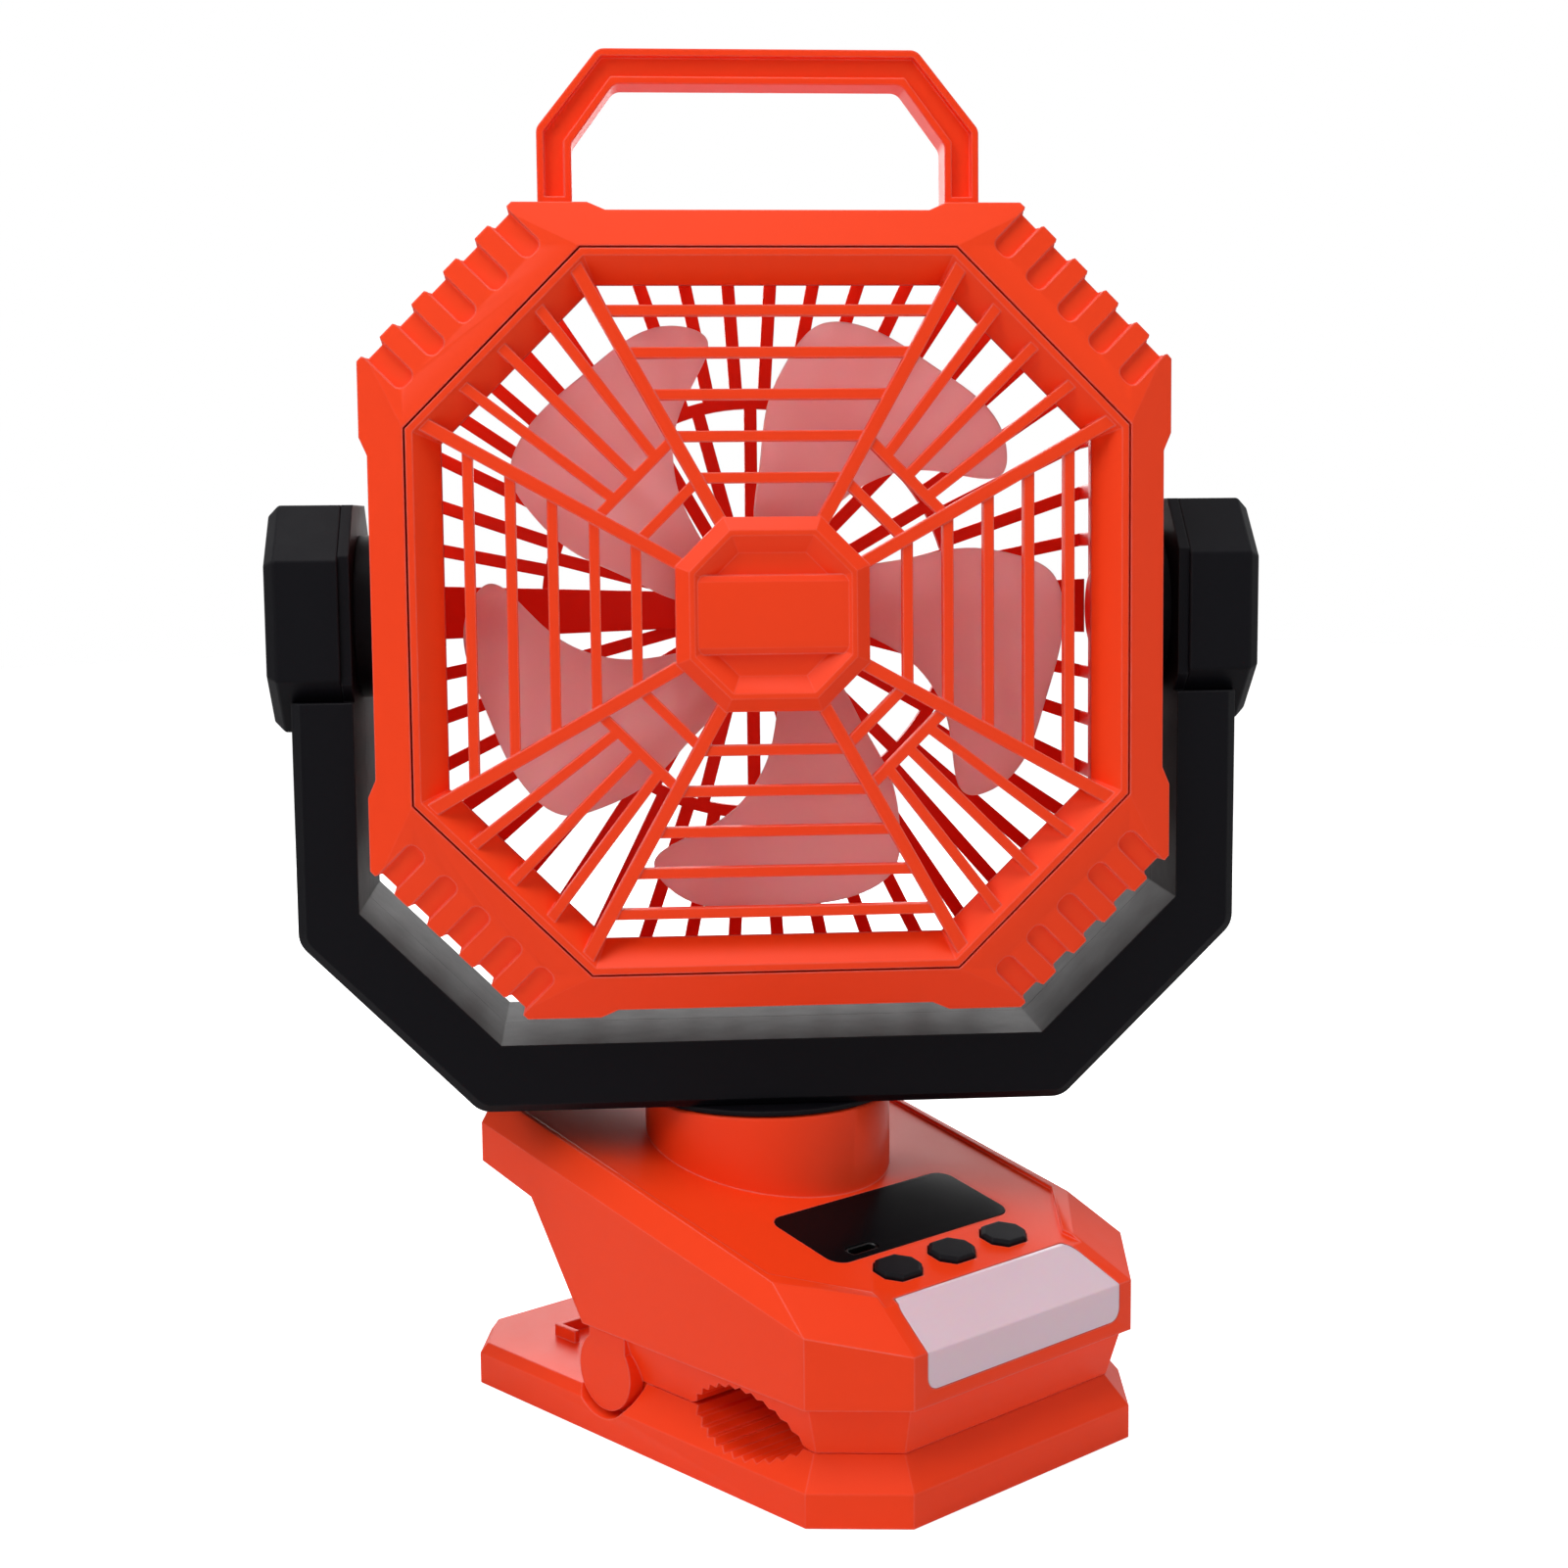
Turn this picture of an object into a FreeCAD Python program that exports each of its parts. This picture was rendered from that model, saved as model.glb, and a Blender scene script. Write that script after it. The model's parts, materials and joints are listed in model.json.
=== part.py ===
# Portable camping fan: an octagonal fan head in a yoke that swivels on a faceted clip base.
# Millimetres, +Z up, -Y towards the lamp. The origin is on the bottom face, on the swivel axis.
import FreeCAD, Part
import math
import os
from FreeCAD import Placement, Rotation, Vector

# Rest pose and general fits
collar_level = 74.9
yoke_turn = -38.4
head_tilt = -1.1
wall = 2.4
fit = 0.1
seam_gap = 0.45
running = 0.05
gap = 0.3

# Head: frame
seam_half = 81.2
seam_diag = 87.0
rim_width = 8.2
diag_rim = 17.5
face_drop = 3.0
front_reach = 35.0
frame_depth = 15.6
plate_depth = 4.0
ledge_depth = 2.0
ledge_width = 2.5
bump_rise = 1.8
bump_end = 40.0
bump_ramp = 4.0
skirt = 2.6
groove_count = 5
groove_pitch = 10.0
groove_width = 5.2
groove_length = 11.6
groove_depth = 1.2
side_recess = 1.5
groove_flare = 0.5
groove_round = 2.0

# Head: front grille
bezel_rim = 1.6
bezel_slope = 6.0
bar_width = 2.4
bar_depth = 3.0
bar_set_back = 1.0
bar_first = 30.5
bar_pitch = 9.2
bar_count = 5
hub_half = 21.8
hub_corner = 10.9
hub_rise = 1.5
hub_depth = 6.5
hub_bevel = 3.0
hub_bevel_drop = 2.0
hub_rim = 1.2
hub_slope = 3.8
hub_recess = 3.0
plate_half_height = 8.8
plate_drop = 0.5
plate_bevel = 1.4
plate_bevel_drop = 0.7
spoke_shift = 1.56
spoke_width = 3.0
slat_count = 3

# Head: rear
rear_reach = 40.0
rear_bars = 48
rear_bar_width = 3.2
housing_end = 16.0
rim_band = 2.4
collar_lip = 3.0
rear_plate = 3.0
rear_ring = 52.0
ring_width = 3.0
arm_half = 6.8
arm_root = 4.6
arm_rib = 4.0
motor_cup = 20.0
screw_inset = 4.0
boss_radius = 12.0

# Motor and fan
fan_radius = 69.0
fan_hub = 19.0
fan_front = -27.0
fan_back = -5.0
blade_count = 5
blade_thick = 1.6
blade_rise = 18.0
shaft_radius = 1.5
motor_radius = 14.0
motor_length = 30.0
motor_front = -1.0

# Handle
handle_half = 51.5
handle_band = 8.0
handle_depth = 10.0
handle_rise = 41.5
handle_shoulder_rise = 23.5
handle_shoulder_in = 37.0
handle_sink = 0.9
handle_rim = 1.7
handle_channel = 2.0
pin_radius = 1.5

# Yoke
arm_clear = 3.5
arm_thick = 14.1
swing_clear = 0.72
yoke_thick = 16.0
yoke_half_depth = 25.0
diag_clear = 9.7
diag_thick = 15.0
yoke_bevel = 2.0
arm_top = -18.6
knob_proud = 5.2
yoke_screw_x = 45.0
yoke_screw_length = 30.0
knob_half = 26.0
knob_corner = 13.5
knob_bevel = 2.5
disc_radius = 19.0
trunnion_radius = 5.0
yoke_round = 6.0

# Swivel
flange_radius = 30.0
flange_thick = 1.2
collar_radius = 29.8
collar_gap = 0.3
spigot_radius = 12.0
spigot_length = 13.0

# Clip body
body_half = 52.3
body_front = 84.3
body_chamfer = 16.4
step_height = 25.9
tail_reach = 46.3
tail_low = 57.2
tail_inner = 26.7
tail_inner_height = 52.2
heel = 7.7
top_height = 62.3
top_slope = 0.23
crest_half = 48.3
edge_height = 56.6
edge_slope = 0.22
facet_y = 69.7
facet_half = 32.5
front_edge_height = 37.65
panel_recess = 1.0
panel_rim = 1.5

# Upper jaw and lower jaw
lip_half = 50.3
lip_front = 82.3
lip_bottom_half = 46.9
lip_bottom_front = 79.1
lip_chamfer = 13.5
jaw_height = 14.6
jaw_gap = 0.2
foot_half = 52.1
foot_front = 84.0
foot_chamfer = 16.3
foot_rear = 61.5
foot_rear_chamfer = 12.0
foot_edge = 7.6
foot_slope = 5.2
plate_top = 10.0
hinge_y = 1.5
hinge_z = 15.5
ear_radius = 9.3
ear_out = 50.8
ear_in = 46.6
notch_radius = 10.8
hinge_pin_radius = 2.5

# Tube hole between the jaws
tube_y = -44.5
tube_chord = 19.2
tube_rise = 9.4
tube_sink = 6.3
tooth = 1.0
tooth_count = 12

# Clip springs
spring_x = 27.5
spring_wire = 1.8
spring_radius = 5.0
spring_turns = 4.375
spring_pitch = 2.4
seat_reach = 41.1
seat_out = 35.2
seat_in = 19.6
seat_height = 3.0
seat_wall = 1.4

# Controls, lamp and battery
window_half = 28.8
window_front = 55.7
window_rear = 32.3
window_round = 4.0
window_thick = 1.2
button_pitch = 17.4
button_y = 63.3
button_size = (11.5, 9.0)
button_chamfer = 2.8
button_proud = 1.2
button_travel = 0.6
board_drop = 9.0
board_thick = 1.6
board_rear = 45.0
lens_half = 31.7
lens_low = 29.2
lens_top = 45.1
lens_back = 70.3
lens_round = 3.0
lens_lean = 3.0
lens_thick = 2.0
led_count = 6
cell_radius = 9.2
cell_length = 65.0
cell_gap = 1.6
cell_middle = -22.9
leg_length = 17.0
port_size = (8.94, 3.26, 7.3)
port_place = (-18.0, -51.0)
jaw_screw_places = [(38.0, -68.3), (-38.0, -68.3), (41.0, -19.0), (-41.0, -19.0)]

front = -front_reach
plate_back = front + plate_depth
ledge_back = plate_back + ledge_depth
frame_half = seam_half + rim_width
crest_diag = seam_diag + diag_rim
bump_half = frame_half + bump_rise
rear = rear_reach
spoke_foot = seam_diag * math.sqrt(2) - seam_half + spoke_shift
handle_pivot = frame_half - handle_sink
handle_top = handle_pivot + handle_rise
handle_shoulder = handle_pivot + handle_shoulder_rise
wall_half = frame_half - skirt - fit
wall_diag = crest_diag - side_recess - skirt - fit
arm_inner = bump_half + arm_clear
arm_outer = arm_inner + arm_thick
knob_out = arm_outer + knob_proud
yoke_bottom_in = math.hypot(front_reach, bump_half) + swing_clear
yoke_bottom = yoke_bottom_in + yoke_thick
yoke_in_diag = crest_diag + diag_clear
yoke_out_diag = yoke_in_diag + diag_thick
pivot_height = collar_level + flange_thick + yoke_bottom
yoke_place = Placement(Vector(0, 0, pivot_height), Rotation(Vector(0, 0, 1), yoke_turn))
head_place = yoke_place.multiply(Placement(Vector(), Rotation(Vector(1, 0, 0), head_tilt)))
panel_angle = math.degrees(math.atan(top_slope))
panel_place = Placement(Vector(0, 0, top_height), Rotation(Vector(1, 0, 0), panel_angle))
far = 300.0


# Shapes from outlines
def outline(points, plane, level):
    order = {"x": lambda a, b: Vector(level, a, b), "y": lambda a, b: Vector(a, level, b),
             "z": lambda a, b: Vector(a, b, level)}[plane]
    vectors = [order(a, b) for a, b in points]
    return Part.makePolygon(vectors + vectors[:1])


def prism(points, plane, start, end):
    step = {"x": Vector(end - start, 0, 0), "y": Vector(0, end - start, 0), "z": Vector(0, 0, end - start)}
    return Part.Face(outline(points, plane, start)).extrude(step[plane])


def taper(first, second, plane, start, end):
    return Part.makeLoft([outline(first, plane, start), outline(second, plane, end)], True, True)


def box(x0, x1, y0, y1, z0, z1):
    return Part.makeBox(x1 - x0, y1 - y0, z1 - z0, Vector(x0, y0, z0))


def rod(plane, radius, start, end, centre=(0.0, 0.0)):
    a, b = centre
    base = {"x": Vector(start, a, b), "y": Vector(a, start, b), "z": Vector(a, b, start)}[plane]
    axis = {"x": Vector(1, 0, 0), "y": Vector(0, 1, 0), "z": Vector(0, 0, 1)}[plane]
    return Part.makeCylinder(radius, end - start, base, axis)


def tube(plane, outer, inner, start, end, centre=(0.0, 0.0)):
    return rod(plane, outer, start, end, centre).cut(rod(plane, inner, start - 1, end + 1, centre))


def four_corners(quarter):
    back = quarter[::-1]
    return (quarter + [(a, -b) for a, b in back] + [(-a, -b) for a, b in quarter]
            + [(-a, b) for a, b in back])


def octagon(half, diag):
    corner = diag * math.sqrt(2) - half
    return four_corners([(corner, half), (half, corner)])


def strip(a, b, width):
    length = math.hypot(b[0] - a[0], b[1] - a[1])
    nx = -(b[1] - a[1]) / length * width / 2
    nz = (b[0] - a[0]) / length * width / 2
    return [(a[0] + nx, a[1] + nz), (b[0] + nx, b[1] + nz), (b[0] - nx, b[1] - nz), (a[0] - nx, a[1] - nz)]


def turned(shape, angle, axis=Vector(0, 1, 0), centre=Vector(0, 0, 0)):
    copy = shape.copy()
    copy.rotate(centre, axis, angle)
    return copy


def fused(shapes):
    return shapes[0].fuse(shapes[1:]).removeSplitter() if len(shapes) > 1 else shapes[0]


def flipped(shape):
    return shape.mirror(Vector(0, 0, 0), Vector(1, 0, 0))


def placed(shape, place):
    return shape.transformed(place.toMatrix(), True)


def save(node, shape, place=None):
    shapes = shape if isinstance(shape, list) else [shape]
    solids = [s for item in shapes for s in item.Solids]
    if place:
        solids = [placed(s, place) for s in solids]
    result = solids[0] if len(solids) == 1 else Part.makeCompound(solids)
    if not result.isValid():
        print("not valid:", node)
    result.exportStep("parts/" + node + ".step")
    print(node, len(solids), "solids", round(result.Volume, 1))


# Front frame of the head: bumped octagon with five recesses on each corner
def frame_outline():
    corner = crest_diag * math.sqrt(2) - bump_half
    start = bump_end - bump_ramp
    return four_corners([(start, frame_half), (bump_end, bump_half), (corner, bump_half),
                         (bump_half, corner), (bump_half, bump_end), (frame_half, start)])


def face_level(radial):
    return front + face_drop * (radial - seam_diag) / diag_rim


def frame_grooves():
    inner = crest_diag - groove_length
    outer = crest_diag + 5
    cuts = []
    for k in range(groove_count):
        middle = (k - (groove_count - 1) / 2) * groove_pitch
        side = groove_width / 2
        profile = [(face_level(inner) + groove_depth, inner), (face_level(outer) + groove_depth, outer),
                   (front - 5, outer), (front - 5, inner)]
        pocket = prism(profile, "x", middle - side, middle + side)
        ends = [e for e in pocket.Edges if abs(e.CenterOfMass.z - inner) < 0.01
                and abs(abs(e.CenterOfMass.x - middle) - side) < 0.01]
        cuts.append(pocket.makeFillet(groove_round, ends))
        notch = [(middle - side + groove_flare, crest_diag - side_recess),
                 (middle + side - groove_flare, crest_diag - side_recess),
                 (middle + side + groove_flare, crest_diag + 0.2), (middle - side - groove_flare, crest_diag + 0.2)]
        cuts.append(prism(notch, "y", front - 5, front + frame_depth + 1))
    return Part.makeCompound(cuts)


def make_front_frame():
    points = frame_outline()
    split = front + face_drop + 1
    grow = (split - front) / face_drop
    slope = taper(octagon(seam_half, seam_diag), octagon(seam_half + grow * rim_width,
                  seam_diag + grow * diag_rim), "y", front, split)
    body = prism(points, "y", front, split).common(slope)
    body = body.fuse(prism(points, "y", split, front + frame_depth))
    body = body.cut(prism(octagon(seam_half, seam_diag), "y", front - 1, plate_back))
    body = body.cut(prism(octagon(seam_half - ledge_width, seam_diag - ledge_width), "y", front, far))
    body = body.cut(prism(octagon(frame_half - skirt, crest_diag - side_recess - skirt), "y", ledge_back, far))
    grooves = frame_grooves()
    for k in range(4):
        body = body.cut(turned(grooves, 45 + 90 * k))
    bosses = []
    for x, z in screw_places():
        bosses.append(tube("y", 3.6, 1.55, ledge_back - 0.5, ledge_back + 8, (x, z)))
    return fused([body] + bosses)


def screw_places():
    reach = (wall_diag - wall - screw_inset) / math.sqrt(2)
    return [(reach, reach), (reach, -reach), (-reach, -reach), (-reach, reach)]


# Front grille: insert with bezel, spokes, bars, slats and hub
def spoke_x(z):
    top = seam_half - bezel_rim - 1.6
    return hub_corner + (z - hub_half) * (spoke_foot - hub_corner) / (top - hub_half)


def grille_bars():
    y0 = front + bar_set_back
    y1 = y0 + bar_depth
    levels = [bar_first + bar_pitch * k for k in range(bar_count)]
    top = seam_half - bezel_rim - 1.6
    pieces = []
    for z in levels:
        reach = spoke_x(z)
        pieces.append(box(-reach, reach, y0, y1, z - bar_width / 2, z + bar_width / 2))
    for side in (-1, 1):
        ends = ((side * hub_corner, hub_half - 2), (side * spoke_foot, top))
        pieces.append(prism(strip(ends[0], ends[1], spoke_width), "y", y0 - 0.4, y1 + 0.6))
    for z in levels[:2]:
        pieces.append(prism(strip((spoke_x(z), z), (z, spoke_x(z)), bar_width), "y", y0, y1))
    z = levels[1]
    for k in range(slat_count):
        f = (k + 1) / (slat_count + 1)
        inner = (spoke_x(z) + f * (z - spoke_x(z)), z + f * (spoke_x(z) - z))
        outer = (spoke_foot + f * (top - spoke_foot), top + f * (spoke_foot - top))
        pieces.append(prism(strip(inner, outer, bar_width), "y", y0, y1))
    return pieces


def hub_octagon(inset):
    return octagon(hub_half - inset, (hub_half + hub_corner) / math.sqrt(2) - inset)


def hub_plate():
    face = front - hub_rise
    shoulder = face + hub_bevel_drop
    floor = face + hub_recess
    well = hub_bevel + hub_rim
    block = prism(hub_octagon(0), "y", shoulder, face + hub_depth)
    nose = taper(hub_octagon(hub_bevel), hub_octagon(0), "y", face, shoulder)
    recess = taper(hub_octagon(well), hub_octagon(well + hub_slope), "y", face, floor)
    back = prism(hub_octagon(2), "y", floor + 2, face + hub_depth + 1)
    top = face + plate_drop
    edge = top + plate_bevel_drop
    flat = plate_half_height - plate_bevel
    profile = [(edge, -plate_half_height), (top, -flat), (top, flat), (edge, plate_half_height),
               (floor + 0.5, plate_half_height), (floor + 0.5, -plate_half_height)]
    plate = prism(profile, "x", well - hub_half, hub_half - well)
    return fused([block, nose]).cut(recess).cut(back).fuse(plate).removeSplitter()


def make_front_grille():
    half = seam_half - seam_gap
    diag = seam_diag - seam_gap
    plate = prism(octagon(half, diag), "y", front, plate_back)
    back = prism(octagon(half - ledge_width, diag - ledge_width), "y", plate_back, ledge_back)
    lip = half - bezel_rim
    lip_diag = diag - bezel_rim
    hole = taper(octagon(lip, lip_diag), octagon(lip - bezel_slope, lip_diag - bezel_slope), "y",
                 front, ledge_back)
    ring = fused([plate, back]).cut(hole)
    sector = Part.makeCompound(grille_bars())
    pieces = [ring, hub_plate()]
    for k in range(4):
        pieces += turned(sector, 90 * k).Solids
    seat = prism(octagon(half + 5, diag + 5), "y", plate_back, ledge_back + 5)
    seat = seat.cut(prism(octagon(half - ledge_width, diag - ledge_width), "y", -far, far))
    return fused(pieces).cut(seat)


# Rear housing: octagonal wall with handle lugs, pivot bosses and screw tubes
def make_rear_housing():
    start = ledge_back + fit
    floor = handle_pivot - handle_depth / 2 - 2 * gap
    leg_in = handle_half - handle_band - 2 * gap
    leg_out = handle_half + 2 * gap
    body = prism(octagon(wall_half, wall_diag), "y", start, housing_end)
    body = body.cut(prism(octagon(wall_half - wall, wall_diag - wall), "y", start - 1, housing_end + 1))
    added = []
    for side in (1, -1):
        for a, b in ((leg_in - wall, leg_in), (leg_out, leg_out + wall)):
            x0, x1 = sorted((side * a, side * b))
            lug = rod("x", 4.0, x0, x1, (0, handle_pivot))
            added.append(lug.fuse(box(x0, x1, -4, 4, wall_half - 1, handle_pivot)))
        x0, x1 = sorted((side * (leg_in - wall), side * (leg_out + wall)))
        added.append(box(x0, x1, -handle_depth / 2 - 1 - wall, housing_end, floor - wall, wall_half - 1))
        x0, x1 = sorted((side * (wall_half - wall - 2.5), side * (wall_half - 1)))
        added.append(rod("x", boss_radius, x0, x1))
    for x, z in screw_places():
        added.append(rod("y", 4.4, ledge_back + 8.2, housing_end - collar_lip - 1, (x, z)))
    body = fused([body] + added)
    for side in (1, -1):
        x0, x1 = sorted((side * leg_in, side * leg_out))
        body = body.cut(box(x0, x1, -handle_depth / 2 - 1, far, floor, far))
        x0, x1 = sorted((side * (leg_in - 5), side * (leg_out + 5)))
        body = body.cut(rod("x", pin_radius + running, x0, x1, (0, handle_pivot)))
        x0, x1 = sorted((side * (wall_half - 10), side * (wall_half + 5)))
        body = body.cut(rod("x", trunnion_radius + running, x0, x1))
    for x, z in screw_places():
        body = body.cut(rod("y", 1.7, front, far, (x, z)))
        body = body.cut(rod("y", 3.2, front + 22, far, (x, z)))
    lip = prism(octagon(wall_half - wall, wall_diag - wall), "y", housing_end - collar_lip - fit, far)
    return body.cut(lip)


def frame_screws():
    pieces = []
    for x, z in screw_places():
        head = rod("y", 2.9, front + 22, front + 24, (x, z))
        pieces.append(head.fuse(rod("y", 1.5, ledge_back + 1, front + 22, (x, z))).removeSplitter())
    return pieces


# Rear grille: basket of bars that wrap onto the side, a ring, two wide arms and the motor cup
def make_rear_grille():
    start = housing_end + 0.2
    plate_front = rear - rear_plate
    outside = prism(octagon(wall_half, wall_diag), "y", start, rear)
    hollow = prism(octagon(wall_half - wall, wall_diag - wall), "y", start - 1, plate_front)
    cup_shape = outside.cut(hollow)
    step = 360 / rear_bars
    bars = []
    for k in range(rear_bars):
        bar = box(-rear_bar_width / 2, rear_bar_width / 2, start, rear, rear_ring, wall_half + 20)
        bars.append(turned(bar, step * (k + 0.5)))
    for k in range(rear_bars // 2):
        bar = box(-rear_bar_width / 2, rear_bar_width / 2, plate_front, rear, motor_cup - 1, rear_ring)
        bars.append(turned(bar, 2 * step * k))
    for side in (1, -1):
        reach = side * (wall_half + 1)
        root = side * (motor_cup - 1)
        bars.append(prism([(root, -arm_root), (reach, -arm_half), (reach, arm_half), (root, arm_root)],
                          "y", start, rear))
    lattice = Part.makeCompound(bars).common(cup_shape)
    ribs = []
    for side in (1, -1):
        reach = side * (wall_half - wall + 0.5)
        root = side * (motor_cup - 1)
        ribs.append(prism([(root, -arm_root), (reach, -arm_half), (reach, arm_half), (root, arm_root)],
                          "y", plate_front - arm_rib, rear))
    lip_half = wall_half - wall - fit
    lip_diag = wall_diag - wall - fit
    band = prism(octagon(wall_half, wall_diag), "y", start, start + rim_band)
    lip = prism(octagon(lip_half, lip_diag), "y", start - collar_lip, start + rim_band)
    inside = prism(octagon(lip_half - 1.5, lip_diag - 1.5), "y", 0, start + rim_band + 1)
    ring = tube("y", rear_ring + ring_width / 2, rear_ring - ring_width / 2, plate_front, rear)
    cup = rod("y", motor_cup, motor_front + 6, rear)
    body = fused([fused([band, lip]).cut(inside), ring, cup] + lattice.Solids + ribs)
    return body.cut(rod("y", motor_radius + fit, 0, motor_front + motor_length))


# Motor
def make_motor():
    back = motor_front + motor_length
    can = rod("y", motor_radius, motor_front, back - 3)
    can = can.cut(rod("y", motor_radius - 1, motor_front + 1, back))
    can = can.cut(rod("y", 3.5, motor_front - 1, back))
    cap = rod("y", motor_radius - 1.0 - running, back - 4, back - 3).fuse(rod("y", motor_radius, back - 3, back - 0.1))
    cap = cap.cut(rod("y", 3.5, back - 5, back + 1))
    bushes = [tube("y", 3.45, shaft_radius + running, a, b)
              for a, b in ((motor_front - 0.5, motor_front + 2.5), (back - 4.5, back - 1))]
    magnets = []
    for side in (1, -1):
        shell = tube("y", motor_radius - 1.05, motor_radius - 3.5, motor_front + 4, back - 6)
        magnets.append(shell.common(box(-9, 9, 0, far, *sorted((side * 2.0, side * 20.0)))))
    armature = tube("y", motor_radius - 4.2, shaft_radius, motor_front + 5, back - 8)
    slots = [turned(box(-1.2, 1.2, 0, far, 5, 20), 72 * k) for k in range(5)]
    armature = armature.cut(Part.makeCompound(slots))
    shaft = rod("y", shaft_radius, fan_front + 4, back - 1.5)
    return can, cap, bushes, magnets, armature.common(rod("y", 30, 0, far)), shaft


# Fan rotor: a hub with five swept blades
def blade_edge(points):
    return [Vector(r * math.cos(math.radians(a)), 0, r * math.sin(math.radians(a))) for r, a in points]


def make_blade():
    middle = (fan_front + fan_back) / 2
    angles = [92 + 10 * k for k in range(10)]
    wires = []
    for angle in angles:
        y = middle + blade_rise / 2 - blade_rise * (angle - 100) / 72
        c = math.cos(math.radians(angle))
        s = math.sin(math.radians(angle))
        corners = [(fan_hub - 4, y - blade_thick / 2), (fan_radius + 4, y - blade_thick / 2),
                   (fan_radius + 4, y + blade_thick / 2), (fan_hub - 4, y + blade_thick / 2)]
        vectors = [Vector(r * c, level, r * s) for r, level in corners]
        wires.append(Part.makePolygon(vectors + vectors[:1]))
    slab = Part.makeLoft(wires, True, False)
    root = fan_hub - 3
    sweep = [(root, 136), (24.2, 130.7), (35.5, 125), (47.7, 115.4), (57, 105.5), (fan_radius - 4, 101.5),
             (fan_radius, 106), (fan_radius, 126), (fan_radius, 144), (fan_radius - 2.5, 151.5), (59, 156.5),
             (47, 162), (33, 165.5), (24.2, 170), (root, 172)]
    curve = Part.BSplineCurve()
    curve.interpolate(blade_edge(sweep))
    close = Part.LineSegment(curve.EndPoint, curve.StartPoint)
    face = Part.Face(Part.Wire([curve.toShape(), close.toShape()]))
    face.translate(Vector(0, -60, 0))
    return slab.common(face.extrude(Vector(0, 120, 0)))


def make_rotor():
    blade = make_blade()
    hub = rod("y", fan_hub, fan_front, fan_back)
    nose = [e for e in hub.Edges if abs(e.CenterOfMass.y - fan_front) < 0.01]
    hub = hub.makeFillet(3.0, nose)
    hollow = rod("y", fan_hub - 2, fan_front + 4, fan_back + 1)
    core = rod("y", 4.0, fan_front + 3, fan_back)
    body = hub.cut(hollow).fuse(core)
    pieces = [turned(blade, 360 / blade_count * k) for k in range(blade_count)]
    room = rod("y", fan_hub - 1, -far, far)
    body = fused([body] + [p.cut(room) for p in pieces])
    return body.cut(rod("y", shaft_radius, fan_front + 4, far))


# Handle: folding bail with a channel on its front
def handle_points(inset, low):
    outer = handle_half - inset
    top = handle_top - inset
    slope = inset * 0.45
    return [(-outer, low), (-outer, handle_shoulder - slope), (-handle_shoulder_in + slope, top),
            (handle_shoulder_in - slope, top), (outer, handle_shoulder - slope), (outer, low)]


def make_handle():
    depth = handle_depth / 2
    band = prism(handle_points(0, handle_pivot), "y", -depth, depth)
    band = band.cut(prism(handle_points(handle_band, handle_pivot - 1), "y", -far, far))
    corners = [e for e in band.Edges if abs(e.tangentAt(e.FirstParameter).y) > 0.99
               and e.CenterOfMass.z > handle_pivot + 5]
    band = band.makeFillet(3.0, corners)
    room = prism(handle_points(handle_rim, handle_pivot + 8), "y", -depth - 1, -depth + handle_channel)
    room = room.cut(prism(handle_points(handle_band - handle_rim, 0), "y", -far, far))
    band = band.cut(room)
    feet = []
    for side in (1, -1):
        x0, x1 = sorted((side * handle_half, side * (handle_half - handle_band)))
        feet.append(rod("x", depth, x0, x1, (0, handle_pivot)))
    body = fused([band] + feet)
    for side in (1, -1):
        x0, x1 = sorted((side * (handle_half + 1), side * (handle_half - handle_band - 1)))
        body = body.cut(rod("x", pin_radius + running, x0, x1, (0, handle_pivot)))
    return body


def handle_pins():
    return [rod("x", pin_radius, *sorted((side * (handle_half - handle_band - 3), side * (handle_half + 2.6))),
                (0, handle_pivot)) for side in (1, -1)]


# Yoke: two half shells, octagonal pivot covers, discs and shafts
def u_points(inset):
    outer = arm_outer - inset
    low = yoke_bottom - inset
    inner = arm_inner + inset
    deep = yoke_bottom_in + inset
    out_corner = (yoke_out_diag - inset) * math.sqrt(2) - outer
    out_low = (yoke_out_diag - inset) * math.sqrt(2) - low
    in_corner = (yoke_in_diag + inset) * math.sqrt(2) - inner
    in_low = (yoke_in_diag + inset) * math.sqrt(2) - deep
    top = arm_top - inset
    right = [(inner, top), (outer, top), (outer, -out_corner), (out_low, -low)]
    left = [(-out_low, -low), (-outer, -out_corner), (-outer, top), (-inner, top)]
    inside = [(-inner, -in_corner), (-in_low, -deep), (in_low, -deep), (inner, -in_corner)]
    return right + left + inside


def knob_points(inset):
    half = knob_half - inset
    diag = (knob_half + knob_corner) / math.sqrt(2) - inset
    return octagon(half, diag)


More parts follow.
